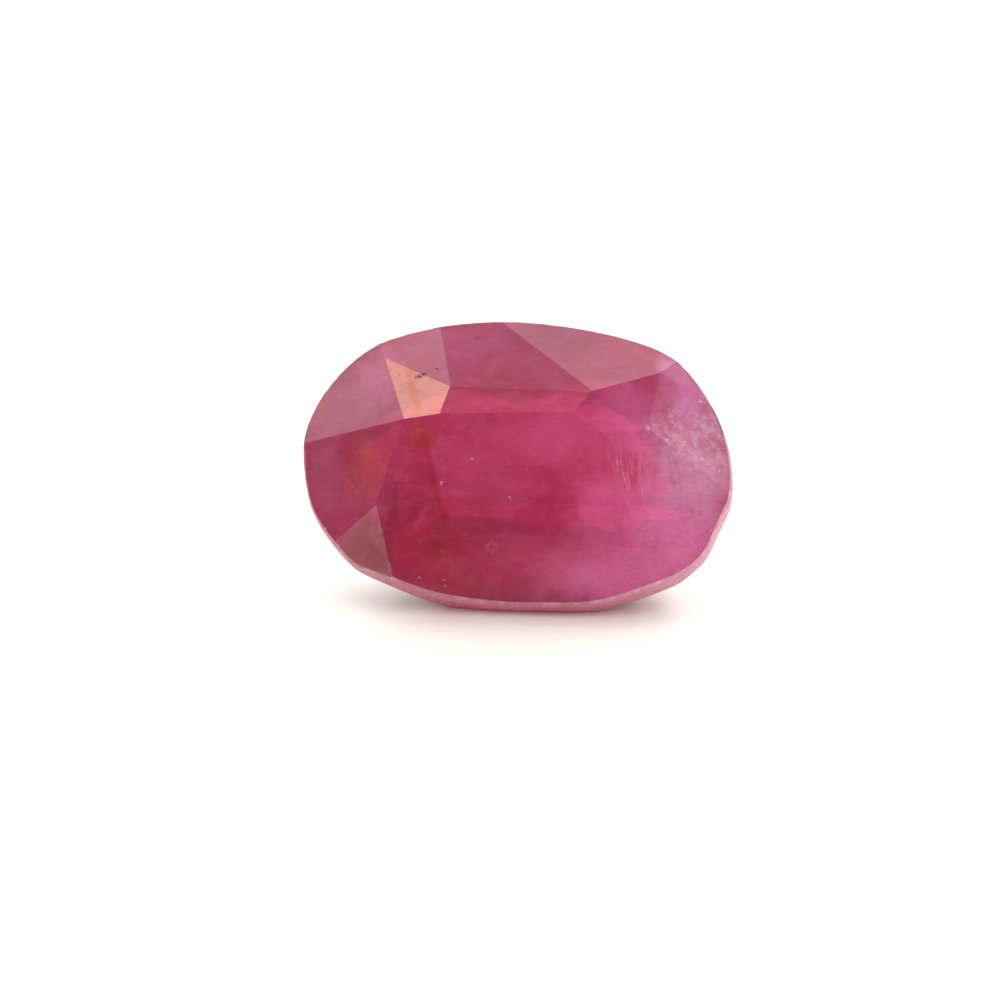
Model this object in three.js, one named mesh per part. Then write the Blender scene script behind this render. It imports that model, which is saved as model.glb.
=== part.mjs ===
// Oval cut ruby gemstone: one solid stone in millimetres, +Z up, at rest on a steep back facet.
// It is cut with its table facing up, then leaned back until the rest facet lies on the ground.
import * as THREE from 'three';

// Girdle: the widest outline of the stone, as points seen from above the table.
const GIRDLE_POINTS = [
  [5.99, 0.26], [5.68, 1.3], [5.18, 2.23], [4.5, 3.01], [3.68, 3.58], [2.76, 3.9],
  [1.49, 4.14], [-0.05, 4.23], [-1.46, 4.11], [-2.72, 3.84], [-3.95, 3.34], [-5.01, 2.62],
  [-5.89, 1.28], [-6.06, 0.2], [-5.84, -1.17], [-5.46, -2.0], [-4.33, -3.22], [-3.47, -3.6],
  [-2.08, -4.0], [-0.38, -4.14], [1.28, -4.07], [2.66, -3.9], [4.64, -3.06], [5.43, -2.3],
  [5.77, -1.38], [6.01, -0.76],
];
const GIRDLE_SIDES = 96;
const GIRDLE_HEIGHT = 0.74;

// Crown: the table is almost level; the other facets lean outwards around it.
// A facet faces its azimuth (degrees from +X), slopes down by its slope and meets
// the top of the girdle at its reach from the stone's axis.
const TABLE = { azimuth: -90, slope: 4.5, height: 1.145 };
const CROWN_FACETS = {
  leftUpper: { azimuth: 155.4, slope: 28.6, reach: 5.26 },
  kite: { azimuth: 105.6, slope: 22.0, reach: 4.36 },
  upperLeft: { azimuth: 100.4, slope: 24.5, reach: 3.98 },
  upperMiddle: { azimuth: 95.2, slope: 24.8, reach: 3.8 },
  middleStar: { azimuth: 96.1, slope: 20.8, reach: 4.23 },
  upperRight: { azimuth: 85.2, slope: 29.9, reach: 3.735 },
  rightStar: { azimuth: 47.6, slope: 17.5, reach: 5.835 },
  rightUpper: { azimuth: 24.5, slope: 26.8, reach: 5.37 },
  right: { azimuth: 4.9, slope: 19.1, reach: 6.13 },
  lowerRight: { azimuth: -36.1, slope: 24.8, reach: 5.7 },
  lower: { azimuth: -86.4, slope: 22.3, reach: 4.08 },
  bottomLeft: { azimuth: -130.9, slope: 36.9, reach: 5.12 },
  lowerLeft: { azimuth: -158.1, slope: 36.7, reach: 5.4 },
  left: { azimuth: 177.2, slope: 24.8, reach: 5.71 },
};

// Chips: small nicks in the upper girdle edge, given in the same way, with a bite taken inwards.
const CHIP_SLOPE = 52;
const CHIPS = [
  { azimuth: 160, bite: 0.04 },
  { azimuth: 196, bite: 0.03 },
  { azimuth: 238, bite: 0.025 },
  { azimuth: 32, bite: 0.03 },
];

// Pavilion: tiers of facets under the girdle, each tier starting at a depth below it.
const REST_AZIMUTH = -86.8;
const PAVILION_TIERS = [
  { slope: 60, depth: 0, count: 16, turn: 0 },
  { slope: 39, depth: 2.75, count: 14, turn: 0 },
  { slope: 21, depth: 3.45, count: 8, turn: 0.5 },
];

// Rest: the stone leans back until its first pavilion facet lies on the ground.
const LEAN = PAVILION_TIERS[0].slope;

// Blank: the straight-sided piece that the facets are cut from.
const BLANK_TOP = 3;
const BLANK_BOTTOM = -8;

const { degToRad } = THREE.MathUtils;

function girdleOutline() {
  const knots = GIRDLE_POINTS.map(([x, y]) => new THREE.Vector3(x, y, 0));
  const curve = new THREE.CatmullRomCurve3(knots, true, 'centripetal');
  return convexOutline(curve.getSpacedPoints(GIRDLE_SIDES).slice(0, GIRDLE_SIDES));
}

function turnsLeft(a, b, c) {
  return (b.x - a.x) * (c.y - a.y) - (b.y - a.y) * (c.x - a.x) > 1e-6;
}

function convexOutline(points) {
  const sorted = [...points].sort((a, b) => a.x - b.x || a.y - b.y);
  const chain = (list) => {
    const side = [];
    for (const point of list) {
      while (side.length > 1 && !turnsLeft(side.at(-2), side.at(-1), point)) side.pop();
      side.push(point);
    }
    return side.slice(0, -1);
  };
  return [...chain(sorted), ...chain(sorted.reverse())];
}

// A convex solid is a list of faces; a face is a loop of corners, anticlockwise from outside.
function prism(outline, bottom, top) {
  const lower = outline.map((p) => new THREE.Vector3(p.x, p.y, bottom));
  const upper = outline.map((p) => new THREE.Vector3(p.x, p.y, top));
  const walls = outline.map((_, i) => {
    const next = (i + 1) % outline.length;
    return [lower[i], lower[next], upper[next], upper[i]];
  });
  return [...walls, upper, [...lower].reverse()];
}

function crossing(inner, outer, plane) {
  const depth = plane.distanceToPoint(inner);
  const height = plane.distanceToPoint(outer);
  return inner.clone().lerp(outer, depth / (depth - height));
}

// Removes everything on the outer side of a plane and closes the cut with one flat face.
function cutFacet(faces, plane) {
  const kept = [];
  const cuts = [];
  for (const face of faces) {
    const loop = [];
    face.forEach((corner, i) => {
      const next = face[(i + 1) % face.length];
      const inside = plane.distanceToPoint(corner) <= 0;
      const nextInside = plane.distanceToPoint(next) <= 0;
      if (inside) loop.push(corner);
      if (inside !== nextInside) {
        const cut = inside ? crossing(corner, next, plane) : crossing(next, corner, plane);
        loop.push(cut);
        cuts.push(cut);
      }
    });
    if (loop.length > 2) kept.push(loop);
  }
  if (cuts.length < 3) return faces;
  return [...kept, closingFace(cuts, plane.normal)];
}

function closingFace(cuts, normal) {
  const corners = [];
  for (const cut of cuts) {
    if (!corners.some((corner) => corner.distanceTo(cut) < 1e-7)) corners.push(cut);
  }
  const centre = new THREE.Vector3();
  for (const corner of corners) centre.add(corner);
  centre.divideScalar(corners.length);
  const across = corners[0].clone().sub(centre).normalize();
  const along = normal.clone().cross(across);
  const angle = (corner) => {
    const arm = corner.clone().sub(centre);
    return Math.atan2(arm.dot(along), arm.dot(across));
  };
  return corners.sort((a, b) => angle(a) - angle(b));
}

// A plane that faces an azimuth and slopes down (or up, for a negative slope) from level,
// and passes at a reach from the axis at the given height.
function slopedPlane(azimuth, slope, reach, height) {
  const turn = degToRad(azimuth);
  const tilt = degToRad(Math.abs(slope));
  const normal = new THREE.Vector3(
    Math.sin(tilt) * Math.cos(turn),
    Math.sin(tilt) * Math.sin(turn),
    Math.sign(slope) * Math.cos(tilt),
  );
  const point = new THREE.Vector3(reach * Math.cos(turn), reach * Math.sin(turn), height);
  return new THREE.Plane().setFromNormalAndCoplanarPoint(normal, point);
}

function outlineReach(outline, azimuth) {
  const turn = degToRad(azimuth);
  return Math.max(...outline.map((p) => p.x * Math.cos(turn) + p.y * Math.sin(turn)));
}

function cutCrown(faces) {
  faces = cutFacet(faces, slopedPlane(TABLE.azimuth, TABLE.slope, 0, GIRDLE_HEIGHT + TABLE.height));
  for (const { azimuth, slope, reach } of Object.values(CROWN_FACETS)) {
    faces = cutFacet(faces, slopedPlane(azimuth, slope, reach, GIRDLE_HEIGHT));
  }
  return faces;
}

function cutChips(faces) {
  const corners = faces.flat();
  for (const { azimuth, bite } of CHIPS) {
    const plane = slopedPlane(azimuth, CHIP_SLOPE, 0, 0);
    plane.constant = bite - Math.max(...corners.map((corner) => corner.dot(plane.normal)));
    faces = cutFacet(faces, plane);
  }
  return faces;
}

function cutPavilion(faces, outline) {
  for (const [tier, { slope, depth, count, turn }] of PAVILION_TIERS.entries()) {
    for (let i = 0; i < count; i += 1) {
      const azimuth = REST_AZIMUTH + ((i + turn) * 360) / count;
      let reach = outlineReach(outline, azimuth);
      for (let above = 0; above < tier; above += 1) {
        const fall = PAVILION_TIERS[above + 1].depth - PAVILION_TIERS[above].depth;
        reach -= fall / Math.tan(degToRad(PAVILION_TIERS[above].slope));
      }
      faces = cutFacet(faces, slopedPlane(azimuth, -slope, reach, -depth));
    }
  }
  return faces;
}

function cutStone() {
  const outline = girdleOutline();
  const blank = prism(outline, BLANK_BOTTOM, BLANK_TOP);
  return cutPavilion(cutChips(cutCrown(blank)), outline);
}

// Leans the stone onto its rest facet and centres its box over the origin, at ground level.
function layDown(faces) {
  const lean = new THREE.Matrix4().makeRotationX(degToRad(LEAN));
  lean.multiply(new THREE.Matrix4().makeRotationZ(degToRad(-90 - REST_AZIMUTH)));
  const laid = faces.map((face) => face.map((corner) => corner.clone().applyMatrix4(lean)));
  const box = new THREE.Box3().setFromPoints(laid.flat());
  const centre = box.getCenter(new THREE.Vector3());
  const shift = new THREE.Vector3(-centre.x, -centre.y, -box.min.z);
  for (const corner of laid.flat()) corner.add(shift);
  return laid;
}

function stoneGeometry(faces) {
  const positions = [];
  for (const face of faces) {
    for (let i = 2; i < face.length; i += 1) {
      for (const corner of [face[0], face[i - 1], face[i]]) positions.push(...corner.toArray());
    }
  }
  const geometry = new THREE.BufferGeometry();
  geometry.setAttribute('position', new THREE.Float32BufferAttribute(positions, 3));
  geometry.computeVertexNormals();
  return geometry;
}

const rubyMaterial = new THREE.MeshStandardMaterial({ color: 0xc23a6a, roughness: 0.08 });
const ruby = new THREE.Mesh(stoneGeometry(layDown(cutStone())), rubyMaterial);
ruby.name = 'ruby';

const gemstone = new THREE.Group();
gemstone.name = 'oval_ruby';
gemstone.add(ruby);

export default gemstone;
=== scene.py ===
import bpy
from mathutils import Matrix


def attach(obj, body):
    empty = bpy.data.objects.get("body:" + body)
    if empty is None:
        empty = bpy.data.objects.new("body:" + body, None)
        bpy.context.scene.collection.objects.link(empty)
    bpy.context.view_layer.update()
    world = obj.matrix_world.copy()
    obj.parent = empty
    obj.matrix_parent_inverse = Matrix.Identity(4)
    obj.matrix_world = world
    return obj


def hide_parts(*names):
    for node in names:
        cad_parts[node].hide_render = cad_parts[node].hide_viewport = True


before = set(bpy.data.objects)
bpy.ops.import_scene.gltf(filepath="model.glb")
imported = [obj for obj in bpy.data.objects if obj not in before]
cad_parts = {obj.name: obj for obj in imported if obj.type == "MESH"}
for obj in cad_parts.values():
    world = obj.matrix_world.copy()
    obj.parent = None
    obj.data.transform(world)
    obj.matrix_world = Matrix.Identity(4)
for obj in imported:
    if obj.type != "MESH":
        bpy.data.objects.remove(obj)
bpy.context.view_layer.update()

import math

import bmesh
import bpy
from mathutils import Matrix, Vector
from mathutils.bvhtree import BVHTree

MM = 0.001

# Camera: pixels are those of a frame of 1000 by 1000, and the scale holds at the stone's centre.
FRAME_PX = 1000
FOCAL_PX = 3500
PX_PER_MM = 35.8
SENSOR_MM = 36
STONE_CENTRE_PX = (517.5, 465.0)
STONE_CENTRE = Vector((0.0142, -0.9636, 3.7748)) * MM
CAMERA_AZIMUTH = math.radians(5)
CAMERA_ELEVATION = math.radians(12)
NEAREST_SEEN = 1 * MM
FARTHEST_SEEN = 2000 * MM

# The camera's own directions. Back points from the stone to the camera.
BACK = Vector((
    math.sin(CAMERA_AZIMUTH) * math.cos(CAMERA_ELEVATION),
    -math.cos(CAMERA_AZIMUTH) * math.cos(CAMERA_ELEVATION),
    math.sin(CAMERA_ELEVATION),
))
RIGHT = Vector((math.cos(CAMERA_AZIMUTH), math.sin(CAMERA_AZIMUTH), 0))
UP = BACK.cross(RIGHT)
CAMERA_DISTANCE = FOCAL_PX / PX_PER_MM * MM
CAMERA_PLACE = STONE_CENTRE + BACK * CAMERA_DISTANCE

# The stone's own directions: across its table, along the table's slope, and its axis, which
# comes out of the table and leans back from upright.
LEAN = math.radians(60)
STONE_AXIS = Matrix.Rotation(LEAN, 3, "X") @ Vector((0, 0, 1))
ACROSS = RIGHT
ALONG = STONE_AXIS.cross(ACROSS).normalized()
OWN_DIRECTIONS = (ACROSS, ALONG, STONE_AXIS)

# Facets and worn edges: an edge is replaced by a narrow flat of the given width. Faces that turn
# by less than the flat angle are one facet, and an edge that turns by less than the worn angle
# stays sharp. A girdle wall's normal has almost no part along the stone's axis.
EDGE_WEAR = 0.012 * MM
RIM_WEAR = 0.12 * MM
FLAT_ANGLE = math.radians(0.4)
WORN_ANGLE = math.radians(3)
WALL_TILT = 0.02
SAME_POINT = 1e-7

# Two facets differ from the others, each marked by a pixel inside it: a small kite painted salmon as a
# painted reflection of light from inside the stone, and a scuffed one at the lower left.
OWN_FACETS = {"kite": (420, 395), "scuffed": (366, 545)}

# Kinds of face that the material tells apart. A rim is the worn edge between girdle and crown.
MARKED_KINDS = ("wall", "rim", "worn", *OWN_FACETS)

# Tones are given as they look under the studio light, in sRGB from 0 to 255.
# The light multiplies a base colour by its gain and adds the haze of its reflection.
LIGHT_GAIN = 0.91
LIGHT_HAZE = 0.012
DARKEST = 0.012
PALEST = 0.95


def linear(value):
    value /= 255
    return value / 12.92 if value <= 0.04045 else ((value + 0.055) / 1.055) ** 2.4


def seen(red, green, blue):
    """The base colour that looks like this tone in the studio light."""
    parts = [(linear(value) - LIGHT_HAZE) / LIGHT_GAIN for value in (red, green, blue)]
    return (*(min(max(part, DARKEST), PALEST) for part in parts), 1.0)


CRIMSON = seen(176, 56, 90)
MAGENTA = seen(184, 66, 106)
SILK = seen(218, 132, 164)
DUSK = seen(158, 42, 66)
RUST = seen(186, 72, 74)
# Painted reflection: the salmon light that the kite facet throws back from inside the stone.
KITE_PAINTED_REFLECTION = seen(240, 154, 136)
VEIL = seen(226, 178, 198)
FROST = seen(240, 190, 206)
FROST_DARK = seen(212, 110, 138)
# Painted shade: the tone of the dark line along the upper part of the rim.
RIM_SHADE_LINE = seen(60, 34, 42)
SPECK_WHITE = seen(246, 204, 220)
SCRATCH_WHITE = seen(234, 172, 198)

# Stains multiply the colour that they lie on.
GRAIN_STAIN = (0.86, 0.62, 0.76, 1)
ORANGE_STAIN = (0.93, 0.76, 0.5, 1)
PAVILION_STAIN = (0.9, 0.55, 0.72, 1)
DARK_STAIN = (0.6, 0.35, 0.6, 1)
BLACK_STAIN = (0.1, 0.05, 0.05, 1)

# Soft zones of colour: the stone's own colour inside it, a painted shade over the lower left corner and
# partly painted sheen at the right end: centre pixel, half-widths in mm, tone, strength.
ZONES = {
    "wine top": ((480, 345), (2.3, 0.8), seen(190, 86, 134), 0.6),
    "mauve upper left": ((345, 400), (1.6, 1.2), seen(182, 84, 122), 0.8),
    "mauve left": ((322, 470), (0.9, 2.0), seen(190, 84, 118), 0.75),
    "brown left": ((364, 470), (0.9, 1.2), seen(186, 78, 82), 0.7),
    "deep low": ((430, 543), (2.0, 1.4), seen(178, 46, 68), 0.85),
    "brown low": ((470, 588), (1.8, 0.45), seen(186, 70, 78), 0.6),
    "crimson centre": ((540, 512), (1.3, 1.0), seen(180, 42, 92), 0.65),
    "pink upper": ((560, 434), (2.1, 1.1), seen(208, 82, 132), 0.75),
    "pink star": ((626, 400), (1.1, 0.9), seen(216, 96, 148), 0.75),
    "pink right": ((608, 506), (1.5, 1.7), seen(222, 98, 150), 0.8),
    # Partly painted sheen: the stone's own colour, made pale lilac where the right end faces the light.
    "lilac sheen upper": ((694, 404), (1.2, 1.3), seen(222, 124, 184), 0.8),
    # Partly painted sheen: the stone's own colour, made pale lilac where the right end faces the light.
    "lilac sheen end": ((680, 532), (1.8, 2.0), seen(236, 128, 182), 0.9),
    "rose low": ((535, 560), (2.6, 0.9), seen(210, 72, 112), 0.6),
    "lilac low": ((612, 576), (2.5, 1.1), seen(240, 122, 174), 0.85),
    "pink turn": ((642, 436), (1.3, 1.0), seen(230, 114, 172), 0.65),
    "rose star": ((512, 401), (2.3, 0.45), seen(206, 74, 116), 0.6),
    "wine beside kite": ((434, 336), (0.5, 0.9), seen(160, 70, 104), 0.5),
    "lilac tip": ((678, 370), (0.7, 0.6), seen(236, 150, 198), 0.6),
    "wine upper right": ((556, 338), (1.8, 0.9), seen(150, 40, 90), 0.6),
    "lilac beside kite": ((378, 380), (0.8, 1.2), seen(214, 112, 154), 0.7),
    # Partly painted sheen: the stone's own colour, made pale where the right end faces the light.
    "pale sheen haze": ((694, 474), (1.5, 1.6), seen(232, 158, 200), 0.7),
    "orange haze": ((423, 437), (0.45, 0.5), seen(170, 62, 54), 0.7),
    "orange patch": ((362, 448), (0.28, 0.45), seen(186, 92, 74), 0.6),
    "orange blush": ((374, 402), (0.24, 0.4), seen(196, 84, 78), 0.6),
    "orange spot": ((323, 406), (0.3, 0.5), seen(196, 92, 88), 0.5),
    # Painted shade: a dark zone over the lower left corner.
    "painted shade corner low left": ((370, 550), (0.9, 0.9), seen(142, 34, 48), 0.85),
}
# Where a zone fades in and where it is full, as shares of its half-widths, and its half-depth in mm.
ZONE_FADE = (1.14, 0.2)
ZONE_HALF_DEPTH = 2.6

# Painted refractions: patches with straight soft edges, the light and shade of the pavilion's facets as
# seen through the crown: corner pixels, tone, strength.
PAINTED_REFRACTIONS = {
    "dark corner": (
        [(398, 478), (412, 458), (431, 461), (447, 521), (421, 528), (383, 538)],
        seen(154, 34, 70), 0.6,
    ),
    "crimson corner": (
        [(536, 500), (572, 484), (580, 520), (556, 534), (540, 522)],
        seen(168, 36, 78), 0.4,
    ),
    "shaded star": (
        [(598, 432), (628, 430), (640, 470), (628, 498), (612, 474)],
        seen(182, 62, 100), 0.35,
    ),
}
PATCH_SOFTNESS = 0.1

# Lines on and inside the stone: pixels along them, half-width in mm, tone, strength.
LINES = {
    "left worn line": ([(375, 502), (392, 576)], 0.025, seen(206, 130, 150), 0.4),
    "right worn line": ([(608, 455), (630, 510), (649, 578)], 0.07, seen(214, 118, 158), 0.25),
    "inner fold": ([(576, 482), (633, 434)], 0.03, seen(208, 104, 144), 0.25),
    "pale dash": ([(568, 541), (573, 559)], 0.07, seen(206, 92, 132), 0.4),
    "dark spot": ([(418, 504), (412, 519)], 0.13, seen(110, 16, 44), 0.42),
}
LINE_FADE = (1.6, 0.4)
STREAK_PX = [(407, 368), (416, 402), (424, 436), (433, 480), (446, 519)]
STREAK_HALF_WIDTH = 0.1
SCRATCHES_PX = [
    [(616, 457), (618, 471)],
    [(621, 461), (628, 494)],
    [(630, 460), (633, 479)],
    [(641, 456), (645, 471)],
    [(641, 476), (643, 496)],
    [(667, 443), (679, 488)],
    [(648, 428), (667, 440)],
]
SCRATCH_HALF_WIDTH = 0.018

# Specks: their radius in mm and the pixels where they are.
BLACK_SPECKS = {
    0.07: [(424, 374.5), (420, 377)],
    0.04: [(415, 377), (437, 369), (549, 330), (499, 322)],
}
DARK_SPECKS = {
    0.07: [(478, 338), (457, 599)],
    0.045: [(432, 378), (399, 375), (433, 445), (406, 500)],
}
WHITE_SPECKS = {
    0.055: [
        (648, 428), (667, 440), (684, 443), (703, 459), (701, 402), (392, 580), (325, 529), (338, 545),
    ],
    0.035: [
        (472, 458.5), (442, 483), (510, 497), (419, 578), (444, 580), (446, 586), (654, 425), (673, 422),
        (696, 444), (714, 467), (722, 461), (678, 396), (711, 531), (720, 472), (688, 450),
    ],
    0.025: [(527, 470), (538, 470)],
}
SPECK_FADE = (1.4, 0.5)

# A pale veil and brush strokes at the right end, each a zone filled with noise, and a small pit.
VEIL_ZONE = ((698, 440), (1.7, 1.7))
VEIL_THINNEST = 0.2
STROKES_ZONE = ((635, 472), (0.85, 1.1))
PIT_PX = (492, 547)
PIT_RADIUS = 0.15
PIT_HOLLOW = (0.4, 0.9)
PIT_LIP = (1.4, 1.0)

# Places moved about by noise, for uneven borders: noise scale per mm and movement in mm.
WAVY = (1.7, 0.2)
RAGGED = (9, 0.25)
CLOUDY = (1.3, 1.1)

# Noise: scale per mm, detail, the range over which its cover goes from 0 to 1 and, where it
# differs from the usual one, its roughness. A tone's clouds also have the tone and its strength.
BODY_CLOUDS = (0.45, 2, (0.35, 0.68))
TONE_CLOUDS = {
    "dusk": ((1.1, 3, (0.5, 0.75)), DUSK, 0.3),
    "silk": ((2.6, 4, (0.5, 0.78)), SILK, 0.16),
    "rust": ((1.7, 3, (0.54, 0.74)), RUST, 0.2),
}
SCRATCH_BREAKS = (7, 2, (0.35, 0.6))
VEIL_MOTTLE = (4.5, 4, (0.42, 0.66), 0.72)
FROST_MOTTLE = (14, 3, (0.35, 0.65), 0.7)
CHIP_MOTTLE = (3, 3, (0.5, 0.64), 0.65)
POLISH_CLOUDS = (1.7, 3, (0.4, 0.7))

# Drawn-out noise: how much each of the stone's own directions is squeezed, scale and range.
SILK_THREADS = ((0.7, 1.9, 1.0), 1.5, (0.42, 0.78))
FINE_THREADS = ((3, 8, 5), 1.5, (0.35, 0.7))
BRUSH_STROKES = ((7, 0.5, 1), 1.6, (0.48, 0.66))

# Heights in mm: the pavilion's tone deepens down the stone's axis, and a painted shade line darkens the
# upper part of its rim.
PAVILION_FADE = (2.1, 0.6)
RIM_SHADE_FADE = (2.4, 3.8)

# How strongly each layer covers what lies under it.
STRENGTH = {
    "kite": 0.95,
    "silk threads": 0.1,
    "fine threads": 0.45,
    "streak": 0.85,
    "strokes": 0.45,
    "veil": 0.65,
    "scratches": 0.4,
    "pit": 0.1,
    "white specks": 0.5,
    "dark specks": 0.85,
    "black specks": 0.95,
    "girdle frost": 0.8,
    "edge chips": 0.12,
    "rim frost": 0.4,
    "rim shade line": 0.85,
    "rim chips": 0.5,
}

# Surface: roughness of the polish, of the veil on top of it, and of the frosted kinds of face.
POLISH_ROUGHNESS = 0.05
CLOUD_ROUGHNESS = 0.06
VEIL_ROUGHNESS = 0.15
KIND_ROUGHNESS = {"wall": 0.5, "rim": 0.6, "scuffed": 0.55}
WAVES_SCALE = 3.2
PITS_SCALE = 22
PITS_HEIGHT = 1.5
SPECK_HEIGHT = -20.0
BUMP_STRENGTH = 0.1
BUMP_DISTANCE = 0.02 * MM
REFRACTIVE_INDEX = 1.77
SEE_THROUGH = 0.42
INSIDE_COLOUR = (0.9, 0.2, 0.4, 1)
INSIDE_DENSITY = 100.0

# Studio: a wide glossy pale floor, a sky that is bright behind the stone and dim in front of it,
# and soft panels that the camera can't see.
FLOOR_RADIUS = 700 * MM
FLOOR_SIDES = 96
FLOOR_COLOUR = (0.86, 0.87, 0.79, 1)
FLOOR_ROUGHNESS = 0.28
SKY_DIM = 0.12
SKY_BRIGHT = 1.4
SKY_COLOUR = (1, 1, 0.98, 1)
SKY_TOWARDS = (0.3, 1.0, 0.0)
SKY_FADE = (-0.3, 0.8)

# Panels that aim at the stone and aren't mirrored in it: place and size in m, brightness.
AIMED_PANELS = {
    "key": ((0.217, -0.155, 0.155), (0.42, 0.38), 2.2),
    "fill": ((-0.42, -0.08, 0.17), (0.42, 0.28), 3.4),
    "top": ((0.0, 0.3, 0.35), (0.8, 0.4), 2.0),
}

# Level panels overhead, mirrored in the upper facets: left, right, front and back edges as
# multiples of their height, brightness.
CEILING_HEIGHT = 300 * MM
CEILING_PANELS = {
    "left": (-1.6, -0.155, -0.03, 1.2, 1.0),
    "back": (-0.155, 1.0, 0.2, 1.2, 0.45),
}


def pixel_ray(pixel):
    across = (pixel[0] - STONE_CENTRE_PX[0]) / FOCAL_PX
    down = (pixel[1] - STONE_CENTRE_PX[1]) / FOCAL_PX
    return (RIGHT * across - UP * down - BACK).normalized()


def place_in_scene(name, data):
    made = bpy.data.objects.new(name, data)
    bpy.context.scene.collection.objects.link(made)
    return made


def faceted_stone():
    """The solid's facets as whole flat faces."""
    shape = bmesh.new()
    shape.from_mesh(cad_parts["ruby"].data)
    bmesh.ops.remove_doubles(shape, verts=shape.verts, dist=SAME_POINT)
    bmesh.ops.dissolve_limit(shape, angle_limit=FLAT_ANGLE, verts=shape.verts, edges=shape.edges)
    bmesh.ops.recalc_face_normals(shape, faces=shape.faces)
    return shape


def facet_kinds(shape, tree):
    """Tells the girdle's walls, the kite and the scuffed facet from the others."""
    kinds = {face: "plain" for face in shape.faces}
    for face in shape.faces:
        if abs(face.normal.dot(STONE_AXIS)) < WALL_TILT:
            kinds[face] = "wall"
    shape.faces.ensure_lookup_table()
    for kind, pixel in OWN_FACETS.items():
        found = tree.ray_cast(CAMERA_PLACE, pixel_ray(pixel))[2]
        kinds[shape.faces[found]] = kind
    return kinds


def wear_kind(edge, kinds):
    """The kind of flat that an edge wears down to, or None where it stays sharp."""
    others = [face for face in edge.link_faces if kinds[face] != "wall"]
    if not others or edge.calc_face_angle() <= WORN_ANGLE:
        return None
    if len(others) == 2:
        return "worn"
    return "rim" if others[0].normal.dot(STONE_AXIS) > 0 else "wall"


def wear_cut(edge, width):
    """The plane that takes an edge off and leaves a narrow flat of this width instead."""
    first, second = edge.link_faces
    outward = (first.normal + second.normal).normalized()
    depth = width / 2 * math.tan(first.normal.angle(second.normal) / 2)
    return edge.verts[0].co - outward * depth, outward


def cut_flat(points, facets, place, outward, kind):
    """Takes off what lies beyond a plane, and closes the cut with a flat face.

    Facets are loops of indices into the points, anticlockwise from outside, each with its kind.
    """
    heights = [(point - place).dot(outward) for point in points]
    crossings = {}

    def crossing(inner, outer):
        if (inner, outer) not in crossings:
            share = heights[inner] / (heights[inner] - heights[outer])
            crossings[inner, outer] = len(points)
            points.append(points[inner].lerp(points[outer], share))
        return crossings[inner, outer]

    kept = []
    border = {}
    for loop, own_kind in facets:
        left = []
        leaving = []
        entering = []
        for corner, following in zip(loop, loop[1:] + loop[:1]):
            inside = heights[corner] <= 0
            if inside:
                left.append(corner)
            if inside and heights[following] > 0:
                leaving.append(crossing(corner, following))
                left.append(leaving[-1])
            if not inside and heights[following] <= 0:
                entering.append(crossing(following, corner))
                left.append(entering[-1])
        border.update(zip(entering, leaving))
        if left:
            kept.append((left, own_kind))
    while border:
        start, following = border.popitem()
        closing = [start]
        while following != start:
            closing.append(following)
            following = border.pop(following)
        kept.append((closing, kind))
    return kept


def build_stone():
    """The solid's facets with worn edges between them, and more wear along the girdle's two rims."""
    shape = faceted_stone()
    tree = BVHTree.FromBMesh(shape)
    kinds = facet_kinds(shape, tree)
    shape.verts.index_update()
    points = [corner.co.copy() for corner in shape.verts]
    facets = [([corner.index for corner in face.verts], kinds[face]) for face in shape.faces]
    for edge in shape.edges:
        kind = wear_kind(edge, kinds)
        if kind:
            width = EDGE_WEAR if kind == "worn" else RIM_WEAR
            facets = cut_flat(points, facets, *wear_cut(edge, width), kind)
    shape.clear()
    marks = {kind: shape.faces.layers.float.new(kind) for kind in MARKED_KINDS}
    used = sorted({corner for loop, _ in facets for corner in loop})
    made = {corner: shape.verts.new(points[corner]) for corner in used}
    for loop, kind in facets:
        face = shape.faces.new([made[corner] for corner in loop])
        if kind in marks:
            face[marks[kind]] = 1.0
    bmesh.ops.dissolve_degenerate(shape, edges=shape.edges, dist=SAME_POINT)
    mesh = bpy.data.meshes.new("ruby_stone")
    shape.to_mesh(mesh)
    shape.free()
    return place_in_scene("ruby_stone", mesh), tree


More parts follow.
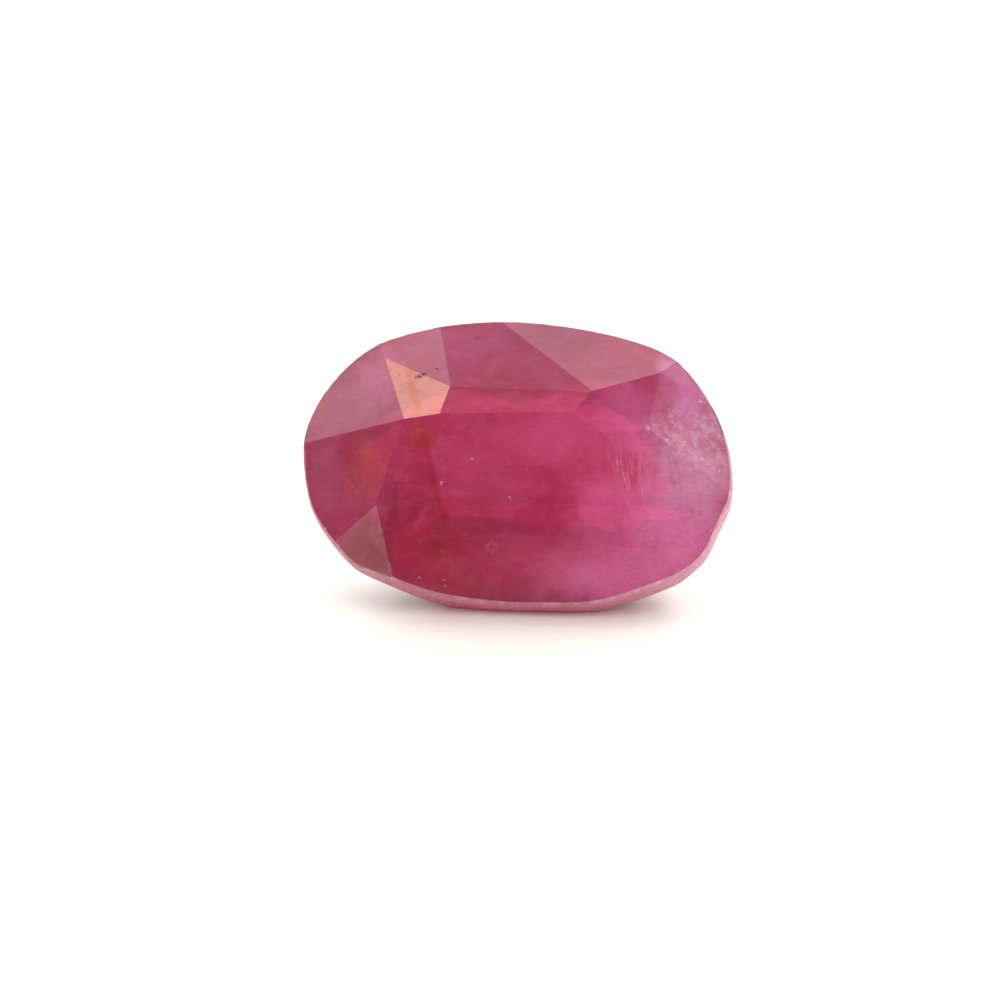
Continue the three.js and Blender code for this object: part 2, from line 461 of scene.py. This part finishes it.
class Graph:
    """Adds and joins shader nodes. Values may be numbers, vectors, colours or other nodes' outputs."""

    def __init__(self, tree):
        self.tree = tree

    def node(self, kind, values=(), **settings):
        made = self.tree.nodes.new(kind)
        for name, value in settings.items():
            setattr(made, name, value)
        for name, value in dict(values).items():
            self.put(made.inputs[name], value)
        return made

    def put(self, socket, value):
        if isinstance(value, bpy.types.NodeSocket):
            self.tree.links.new(value, socket)
        else:
            socket.default_value = value

    def maths(self, operation, *values):
        return self.node("ShaderNodeMath", enumerate(values), operation=operation).outputs[0]

    def vector(self, operation, *values):
        made = self.node("ShaderNodeVectorMath", enumerate(values), operation=operation)
        is_number = operation in ("LENGTH", "DOT_PRODUCT", "DISTANCE")
        return made.outputs["Value" if is_number else "Vector"]

    def joined(self, parts):
        return self.node("ShaderNodeCombineXYZ", enumerate(parts)).outputs["Vector"]

    def ramp(self, value, start, end, most=1.0):
        """Goes smoothly from 0 at start to the most at end, where start may be the larger."""
        low, high = sorted((start, end))
        made = self.node("ShaderNodeMapRange", {"Value": value}, interpolation_type="SMOOTHSTEP")
        made.inputs["From Min"].default_value = low
        made.inputs["From Max"].default_value = high
        made.inputs["To Min"].default_value = most if start > end else 0.0
        made.inputs["To Max"].default_value = most if start < end else 0.0
        return made.outputs["Result"]

    def mix(self, cover, strength, under, over, blend="MIX"):
        if strength != 1:
            cover = self.maths("MULTIPLY", cover, strength)
        values = {"Factor": cover, "A": under, "B": over}
        made = self.node("ShaderNodeMix", data_type="RGBA", blend_type=blend)
        for socket in made.inputs:
            if socket.enabled and socket.name in values:
                self.put(socket, values[socket.name])
        return next(socket for socket in made.outputs if socket.enabled)

    def noise(self, place, scale, detail, roughness=0.55):
        made = self.node("ShaderNodeTexNoise", {"Vector": place, "Scale": scale, "Detail": detail})
        made.inputs["Roughness"].default_value = roughness
        return made

    def shaken(self, place, scale, amount):
        """The place, moved about by noise."""
        shift = self.vector("SUBTRACT", self.noise(place, scale, 2).outputs["Color"], (0.5, 0.5, 0.5))
        return self.vector("ADD", place, self.vector("MULTIPLY", shift, (amount, amount, amount)))

    def extreme(self, operation, values):
        found = values[0]
        for other in values[1:]:
            found = self.maths(operation, found, other)
        return found

    def attribute(self, name):
        return self.node("ShaderNodeAttribute", attribute_name=name).outputs["Fac"]


class Paint:
    """Covers from 0 to 1, most of them placed by the pixels where they are seen on the stone."""

    def __init__(self, graph, stone_tree):
        self.graph = graph
        self.stone_tree = stone_tree
        coordinates = graph.node("ShaderNodeTexCoord").outputs["Object"]
        self.place = graph.vector("MULTIPLY", coordinates, (1 / MM, 1 / MM, 1 / MM))
        self.wavy_place = graph.shaken(self.place, *WAVY)
        self.ragged_place = graph.shaken(self.place, *RAGGED)
        self.own_place = graph.joined([self.along(direction) for direction in OWN_DIRECTIONS])
        self.cloudy_place = graph.shaken(self.own_place, *CLOUDY)

    def along(self, direction):
        """How far the place lies along a direction, in mm."""
        return self.graph.vector("DOT_PRODUCT", self.place, direction)

    def spot(self, pixel):
        """The point of the stone that is seen at a pixel, in mm."""
        return self.stone_tree.ray_cast(CAMERA_PLACE, pixel_ray(pixel))[0] / MM

    def zone(self, pixel, half_widths, strength=1.0):
        spot = self.spot(pixel)
        sizes = Vector((*half_widths, ZONE_HALF_DEPTH))
        scale = Vector([1 / size for size in sizes])
        shift = Vector([-spot.dot(own) / size for own, size in zip(OWN_DIRECTIONS, sizes)])
        arm = self.graph.vector("MULTIPLY_ADD", self.cloudy_place, scale, shift)
        return self.graph.ramp(self.graph.vector("LENGTH", arm), *ZONE_FADE, strength)

    def patch(self, pixels):
        graph = self.graph
        corners = [self.spot(pixel) for pixel in pixels]
        middle = sum(corners, Vector()) / len(corners)
        cover = 1.0
        for first, second in zip(corners, corners[1:] + corners[:1]):
            inner = STONE_AXIS.cross(second - first).normalized()
            if inner.dot(middle - first) < 0:
                inner.negate()
            depth = graph.vector("DOT_PRODUCT", self.wavy_place, inner)
            depth = graph.maths("SUBTRACT", depth, inner.dot(first))
            cover = graph.maths("MULTIPLY", graph.ramp(depth, -PATCH_SOFTNESS, PATCH_SOFTNESS), cover)
        return cover

    def faded(self, distance, size, fade):
        """A soft border between two distances, given as shares of a size."""
        return self.graph.ramp(distance, *(share * size for share in fade))

    def segment(self, place, first, second, half_width):
        graph = self.graph
        start = self.spot(first)
        run = self.spot(second) - start
        arm = graph.vector("SUBTRACT", place, start)
        share = graph.vector("DOT_PRODUCT", arm, run / run.length_squared)
        held = graph.node("ShaderNodeClamp", {"Value": share}).outputs["Result"]
        nearest = graph.node("ShaderNodeVectorMath", {0: run, "Scale": held}, operation="SCALE")
        distance = graph.vector("DISTANCE", arm, nearest.outputs["Vector"])
        return self.faded(distance, half_width, LINE_FADE)

    def line(self, place, pixels, half_width):
        pairs = zip(pixels, pixels[1:])
        covers = [self.segment(place, *pair, half_width) for pair in pairs]
        return self.graph.extreme("MAXIMUM", covers)

    def reach(self, pixel):
        """The distance from a pixel's spot, with a ragged border, in mm."""
        return self.graph.vector("DISTANCE", self.ragged_place, self.spot(pixel))

    def specks(self, sizes):
        covers = []
        for radius, pixels in sizes.items():
            nearest = self.graph.extreme("MINIMUM", [self.reach(pixel) for pixel in pixels])
            covers.append(self.faded(nearest, radius, SPECK_FADE))
        return self.graph.extreme("MAXIMUM", covers)

    def ring(self, pixel, radius):
        distance = self.reach(pixel)
        hollow = self.faded(distance, radius, PIT_HOLLOW)
        lip = self.faded(distance, radius, PIT_LIP)
        return self.graph.maths("MULTIPLY", hollow, lip)

    def threads(self, squeeze, scale, limits):
        """Noise drawn out along the stone's own directions, for silk and brush strokes."""
        drawn = self.graph.vector("MULTIPLY", self.own_place, squeeze)
        return self.graph.ramp(self.graph.noise(drawn, scale, 2, 0.6).outputs["Fac"], *limits)

    def mottle(self, scale, detail, limits, roughness=0.6):
        noise = self.graph.noise(self.place, scale, detail, roughness)
        return self.graph.ramp(noise.outputs["Fac"], *limits)


def paint_body(graph, paint, marks):
    """The stone's colour: cloudy zones with a painted shade and partly painted sheen among them, patches
    of painted refraction, the kite's painted reflection, silk and the orange streak.
    """
    colour = graph.mix(paint.mottle(*BODY_CLOUDS), 1, CRIMSON, MAGENTA)
    for pixel, half_widths, tone, strength in ZONES.values():
        colour = graph.mix(paint.zone(pixel, half_widths, strength), 1, colour, tone)
    # Painted light and shade of the pavilion's facets, as refracted through the crown.
    for pixels, tone, strength in PAINTED_REFRACTIONS.values():
        colour = graph.mix(paint.patch(pixels), strength, colour, tone)
    # The kite's painted reflection: salmon laid over the stone's colour.
    colour = graph.mix(marks["kite"], STRENGTH["kite"], colour, KITE_PAINTED_REFLECTION)
    for clouds, tone, strength in TONE_CLOUDS.values():
        colour = graph.mix(paint.mottle(*clouds), strength, colour, tone)
    silk = paint.threads(*SILK_THREADS)
    colour = graph.mix(silk, STRENGTH["silk threads"], colour, SILK)
    fine = paint.threads(*FINE_THREADS)
    colour = graph.mix(fine, STRENGTH["fine threads"], colour, GRAIN_STAIN, "MULTIPLY")
    pavilion = graph.ramp(paint.along(STONE_AXIS), *PAVILION_FADE)
    colour = graph.mix(pavilion, 1, colour, PAVILION_STAIN, "MULTIPLY")
    streak = paint.line(paint.wavy_place, STREAK_PX, STREAK_HALF_WIDTH)
    return graph.mix(streak, STRENGTH["streak"], colour, ORANGE_STAIN, "MULTIPLY")


def veil_cover(graph, paint):
    mottle = paint.mottle(*VEIL_MOTTLE)
    mottle = graph.maths("MULTIPLY_ADD", mottle, 1 - VEIL_THINNEST, VEIL_THINNEST)
    return graph.maths("MULTIPLY", paint.zone(*VEIL_ZONE), mottle)


def paint_marks(graph, paint, colour, veil):
    """Lines, scratches, the pale veil at the right end and the specks."""
    for pixels, half_width, tone, strength in LINES.values():
        colour = graph.mix(paint.line(paint.wavy_place, pixels, half_width), strength, colour, tone)
    strokes = graph.maths("MULTIPLY", paint.threads(*BRUSH_STROKES), paint.zone(*STROKES_ZONE))
    colour = graph.mix(strokes, STRENGTH["strokes"], colour, SILK)
    colour = graph.mix(veil, STRENGTH["veil"], colour, VEIL)
    scratches = [paint.line(paint.place, pixels, SCRATCH_HALF_WIDTH) for pixels in SCRATCHES_PX]
    scratches = graph.extreme("MAXIMUM", scratches)
    scratches = graph.maths("MULTIPLY", scratches, paint.mottle(*SCRATCH_BREAKS))
    colour = graph.mix(scratches, STRENGTH["scratches"], colour, SCRATCH_WHITE)
    colour = graph.mix(paint.ring(PIT_PX, PIT_RADIUS), STRENGTH["pit"], colour, SCRATCH_WHITE)
    colour = graph.mix(paint.specks(WHITE_SPECKS), STRENGTH["white specks"], colour, SPECK_WHITE)
    dark = paint.specks(DARK_SPECKS)
    colour = graph.mix(dark, STRENGTH["dark specks"], colour, DARK_STAIN, "MULTIPLY")
    black = paint.specks(BLACK_SPECKS)
    return graph.mix(black, STRENGTH["black specks"], colour, BLACK_STAIN, "MULTIPLY")


def paint_wear(graph, paint, colour, marks):
    """The frosted girdle, its frosted rim with a painted shade line along its upper part, and the pale
    chips along the edges.
    """
    rim = marks["rim"]
    frost = graph.mix(paint.mottle(*FROST_MOTTLE), 1, FROST_DARK, FROST)
    colour = graph.mix(marks["wall"], STRENGTH["girdle frost"], colour, frost)
    chips = paint.mottle(*CHIP_MOTTLE)
    edge_chips = graph.maths("MULTIPLY", marks["worn"], chips)
    colour = graph.mix(edge_chips, STRENGTH["edge chips"], colour, FROST)
    colour = graph.mix(rim, STRENGTH["rim frost"], colour, FROST)
    # Painted shade: a dark line along the upper part of the rim, fading out down the stone.
    rim_shade = graph.maths("MULTIPLY", rim, graph.ramp(paint.along(ALONG), *RIM_SHADE_FADE))
    colour = graph.mix(rim_shade, STRENGTH["rim shade line"], colour, RIM_SHADE_LINE)
    rim_chips = graph.maths("MULTIPLY", rim, chips)
    return graph.mix(rim_chips, STRENGTH["rim chips"], colour, SPECK_WHITE)


def surface_roughness(graph, paint, marks, veil):
    polish = paint.mottle(*POLISH_CLOUDS)
    rough = graph.maths("MULTIPLY_ADD", polish, CLOUD_ROUGHNESS, POLISH_ROUGHNESS)
    rough = graph.maths("MULTIPLY_ADD", veil, VEIL_ROUGHNESS, rough)
    frosted = [graph.maths("MULTIPLY", marks[kind], value) for kind, value in KIND_ROUGHNESS.items()]
    return graph.extreme("MAXIMUM", [rough, *frosted])


def surface_bump(graph, paint, marks):
    """Slight waves in the polish, pits in the girdle and small hollows at the black specks."""
    waves = graph.noise(paint.place, WAVES_SCALE, 3).outputs["Fac"]
    pits = graph.maths("MULTIPLY", graph.noise(paint.place, PITS_SCALE, 2).outputs["Fac"], marks["wall"])
    height = graph.maths("MULTIPLY_ADD", pits, PITS_HEIGHT, waves)
    height = graph.maths("MULTIPLY_ADD", paint.specks(BLACK_SPECKS), SPECK_HEIGHT, height)
    values = {"Height": height, "Strength": BUMP_STRENGTH, "Distance": BUMP_DISTANCE}
    return graph.node("ShaderNodeBump", values).outputs["Normal"]


def ruby_material(stone_tree):
    material = bpy.data.materials.new("ruby")
    material.use_nodes = True
    material.node_tree.nodes.clear()
    graph = Graph(material.node_tree)
    paint = Paint(graph, stone_tree)
    marks = {kind: graph.attribute(kind) for kind in MARKED_KINDS}
    veil = veil_cover(graph, paint)

    colour = paint_body(graph, paint, marks)
    colour = paint_marks(graph, paint, colour, veil)
    colour = paint_wear(graph, paint, colour, marks)
    surface = graph.node("ShaderNodeBsdfPrincipled", {
        "Base Color": colour,
        "Roughness": surface_roughness(graph, paint, marks, veil),
        "Normal": surface_bump(graph, paint, marks),
        "IOR": REFRACTIVE_INDEX,
        "Transmission Weight": SEE_THROUGH,
    })
    inside = {"Color": INSIDE_COLOUR, "Density": INSIDE_DENSITY}
    absorption = graph.node("ShaderNodeVolumeAbsorption", inside)
    graph.node("ShaderNodeOutputMaterial", {
        "Surface": surface.outputs["BSDF"],
        "Volume": absorption.outputs["Volume"],
    })
    return material


def make_floor():
    shape = bmesh.new()
    bmesh.ops.create_circle(shape, cap_ends=True, segments=FLOOR_SIDES, radius=FLOOR_RADIUS)
    mesh = bpy.data.meshes.new("floor")
    shape.to_mesh(mesh)
    shape.free()
    material = bpy.data.materials.new("floor")
    material.use_nodes = True
    surface = material.node_tree.nodes["Principled BSDF"]
    surface.inputs["Base Color"].default_value = FLOOR_COLOUR
    surface.inputs["Roughness"].default_value = FLOOR_ROUGHNESS
    mesh.materials.append(material)
    return place_in_scene("floor", mesh)


def make_panel(name, place, aim, size, brightness, mirrored):
    """A soft rectangular light; its power follows from its size, so that it looks this bright."""
    data = bpy.data.lights.new(name, "AREA")
    data.shape = "RECTANGLE"
    data.size, data.size_y = size
    data.energy = brightness * math.pi * size[0] * size[1]
    light = place_in_scene(name, data)
    light.location = place
    light.rotation_mode = "QUATERNION"
    light.rotation_quaternion = (aim - place).to_track_quat("-Z", "Y")
    light.visible_camera = False
    light.visible_glossy = mirrored


def make_lights():
    for name, (place, size, brightness) in AIMED_PANELS.items():
        make_panel(name, Vector(place), STONE_CENTRE, size, brightness, mirrored=False)
    for name, (left, right, front, back, brightness) in CEILING_PANELS.items():
        place = Vector(((left + right) / 2, (front + back) / 2, 1)) * CEILING_HEIGHT
        size = ((right - left) * CEILING_HEIGHT, (back - front) * CEILING_HEIGHT)
        below = place - Vector((0, 0, 1))
        make_panel(name, place, below, size, brightness, mirrored=True)


def make_sky():
    world = bpy.data.worlds.new("studio")
    world.use_nodes = True
    graph = Graph(world.node_tree)
    direction = graph.node("ShaderNodeTexCoord").outputs["Generated"]
    side = graph.vector("DOT_PRODUCT", direction, SKY_TOWARDS)
    share = graph.ramp(side, *SKY_FADE)
    bright = graph.maths("MULTIPLY_ADD", share, SKY_BRIGHT - SKY_DIM, SKY_DIM)
    sky = world.node_tree.nodes["Background"]
    graph.put(sky.inputs["Strength"], bright)
    graph.put(sky.inputs["Color"], SKY_COLOUR)
    bpy.context.scene.world = world


def make_camera():
    data = bpy.data.cameras.new("camera")
    data.sensor_width = SENSOR_MM
    data.lens = FOCAL_PX / FRAME_PX * SENSOR_MM
    data.shift_x = 0.5 - STONE_CENTRE_PX[0] / FRAME_PX
    data.shift_y = STONE_CENTRE_PX[1] / FRAME_PX - 0.5
    data.clip_start = NEAREST_SEEN
    data.clip_end = FARTHEST_SEEN
    camera = place_in_scene("camera", data)
    camera.location = CAMERA_PLACE
    camera.rotation_mode = "QUATERNION"
    camera.rotation_quaternion = (-BACK).to_track_quat("-Z", "Y")
    bpy.context.scene.camera = camera


stone, stone_tree = build_stone()
stone.data.materials.append(ruby_material(stone_tree))
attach(stone, "root")
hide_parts("ruby")

make_floor()
make_lights()
make_sky()
make_camera()
bpy.context.scene.view_settings.view_transform = "Standard"
